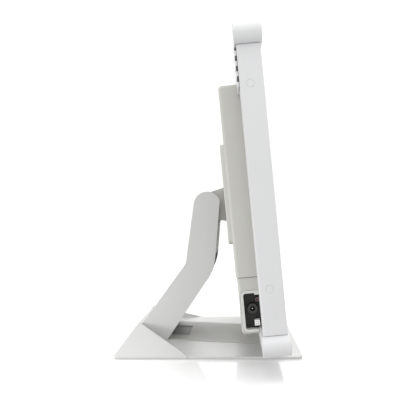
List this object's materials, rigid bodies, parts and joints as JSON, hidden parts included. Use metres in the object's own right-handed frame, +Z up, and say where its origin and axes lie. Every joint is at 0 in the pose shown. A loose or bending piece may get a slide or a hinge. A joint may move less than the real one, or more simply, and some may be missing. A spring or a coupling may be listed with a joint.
{
  "type": "digital photo frame",
  "caption": "Digital photo frame: a flat display between two thick rounded rails, with a rear electronics cover, on a bent tilting arm and a low faceted base.",
  "frame": {"origin": "centre of the footprint, on the surface that the feet stand on", "axes": "+Z up, X along the width with +X on the side of the push buttons, screen facing -Y"},
  "size_m": [0.4, 0.217, 0.3586],
  "materials": {
    "white_plastic": "fine satin moulded plastic, bright white",
    "grey_plastic": "fine matt grain, warm light grey",
    "light_plastic": "smooth satin, pale grey",
    "stand_plastic": "fine satin grain, pale grey white",
    "dark_plastic": "matt dark grey",
    "insert_plastic": "matt mid grey",
    "black_plastic": "smooth black",
    "mat_board": "matt warm white board",
    "screen_glass": "polished clear glass",
    "sheet_steel": "zinc plated sheet steel",
    "bright_steel": "bright turned steel",
    "circuit_board": "green solder mask",
    "rubber": "matt black rubber",
    "pink_plastic": "smooth pale pink",
    "friction_plastic": "dull grey friction material"
  },
  "bodies": {
    "stand": {"arm_core": "sheet_steel", "arm_foot_screw_left": "bright_steel", "arm_foot_screw_right": "bright_steel", "arm_front_cover": "stand_plastic", "arm_shell": "stand_plastic", "base_front_plate": "stand_plastic", "base_rear_block": "stand_plastic", "base_screw_front_left": "bright_steel", "base_screw_front_right": "bright_steel", "base_screw_rear_left": "bright_steel", "base_screw_rear_right": "bright_steel", "base_steel_plate": "sheet_steel", "cable_port_insert": "insert_plastic", "foot_front_left": "rubber", "foot_front_right": "rubber", "foot_rear_left": "rubber", "foot_rear_right": "rubber", "friction_washer_left": "friction_plastic", "friction_washer_right": "friction_plastic", "hinge_nut": "bright_steel", "hinge_pin": "bright_steel"},
    "screen": {"audio_jack": "pink_plastic", "back_panel": "white_plastic", "bottom_rail": "white_plastic", "chassis_tray": "sheet_steel", "dc_jack": "dark_plastic", "four_pin_socket": "white_plastic", "front_mat": "mat_board", "io_bezel": "light_plastic", "io_plate": "black_plastic", "key_board": "circuit_board", "lcd_panel": "black_plastic", "main_board": "circuit_board", "power_board": "circuit_board", "rear_cover_lower": "grey_plastic", "rear_cover_upper": "grey_plastic", "screen_glass": "screen_glass", "side_rail_left": "white_plastic", "side_rail_right": "white_plastic", "side_screw_left_lower": "white_plastic", "side_screw_left_upper": "white_plastic", "side_screw_right_lower": "white_plastic", "side_screw_right_upper": "white_plastic", "standoff_lower_left": "bright_steel", "standoff_lower_right": "bright_steel", "standoff_upper_left": "bright_steel", "standoff_upper_right": "bright_steel", "tilt_bracket": "grey_plastic", "top_rail": "white_plastic", "vesa_plate": "light_plastic", "vesa_screw_lower_left": "bright_steel", "vesa_screw_lower_right": "bright_steel", "vesa_screw_upper_left": "bright_steel", "vesa_screw_upper_right": "bright_steel"},
    "power_key": {"button_power": "light_plastic"},
    "menu_key": {"button_menu": "light_plastic"},
    "up_key": {"button_up": "light_plastic"},
    "down_key": {"button_down": "light_plastic"},
    "enter_key": {"button_enter": "light_plastic"}
  },
  "joints": [
    {"name": "tilt", "type": "hinge", "parent": "stand", "child": "screen", "pos_m": [0, 0.00425, 0.1776], "axis": [1, 0, 0], "range_deg": [-20, 10]},
    {"name": "power_press", "type": "slide", "parent": "screen", "child": "power_key", "axis": [-1, 0, 0], "range_m": [0, 0.001], "stiffness_N_per_m": 500, "springref_m": -0.0006},
    {"name": "menu_press", "type": "slide", "parent": "screen", "child": "menu_key", "axis": [-1, 0, 0], "range_m": [0, 0.001], "stiffness_N_per_m": 500, "springref_m": -0.0006},
    {"name": "up_press", "type": "slide", "parent": "screen", "child": "up_key", "axis": [-1, 0, 0], "range_m": [0, 0.001], "stiffness_N_per_m": 500, "springref_m": -0.0006},
    {"name": "down_press", "type": "slide", "parent": "screen", "child": "down_key", "axis": [-1, 0, 0], "range_m": [0, 0.001], "stiffness_N_per_m": 500, "springref_m": -0.0006},
    {"name": "enter_press", "type": "slide", "parent": "screen", "child": "enter_key", "axis": [-1, 0, 0], "range_m": [0, 0.001], "stiffness_N_per_m": 500, "springref_m": -0.0006}
  ]
}
